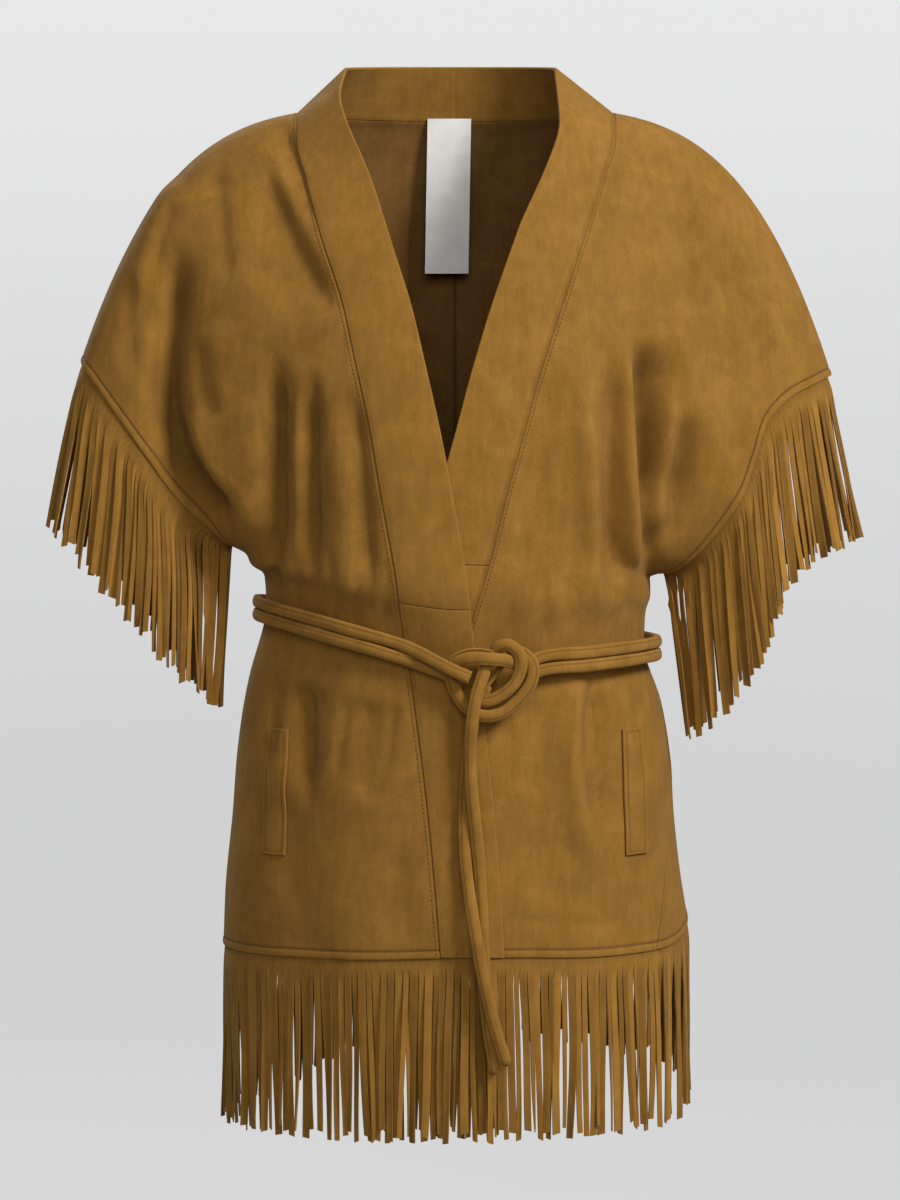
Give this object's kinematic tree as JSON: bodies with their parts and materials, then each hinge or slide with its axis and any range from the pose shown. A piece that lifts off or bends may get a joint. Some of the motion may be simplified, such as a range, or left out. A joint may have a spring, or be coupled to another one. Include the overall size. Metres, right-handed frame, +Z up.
{
  "type": "belted suede cape",
  "caption": "Open-front wrap cape in suede with short wide sleeves, a neckband, cut fringe at sleeves and hem, and a knotted cord belt.",
  "frame": {"origin": "midway between the two shoulder points beside the neck, level with them, where the wearer's shoulders carry the cape", "axes": "+Z up, -Y the way the wearer faces, +X towards the wearer's left"},
  "size_m": [0.6359, 0.2969, 0.837],
  "materials": {
    "suede": "napped suede, matt, tan",
    "neckband": "napped suede, matt, tan",
    "fringe": "cut suede strips, matt, tan",
    "belt_cord": "folded suede cord, matt, tan",
    "label": "plain satin ribbon, off-white, blank"
  },
  "bodies": {
    "root": {"front_right": "suede", "front_left": "suede", "back_right": "suede", "back_left": "suede", "band_lower_right": "neckband", "band_upper_right": "neckband", "band_lower_left": "neckband", "band_upper_left": "neckband", "hem_fringe_right": "fringe", "hem_fringe_left": "fringe", "hem_fringe_back": "fringe", "sleeve_fringe_right_front": "fringe", "sleeve_fringe_right_back": "fringe", "sleeve_fringe_left_front": "fringe", "sleeve_fringe_left_back": "fringe", "pocket_welt_right": "suede", "pocket_welt_left": "suede", "belt_knot": "belt_cord", "belt_waist_upper": "belt_cord", "belt_waist_lower": "belt_cord", "belt_tail_front": "belt_cord", "belt_tail_back": "belt_cord", "nape_label": "label"}
  },
  "joints": []
}
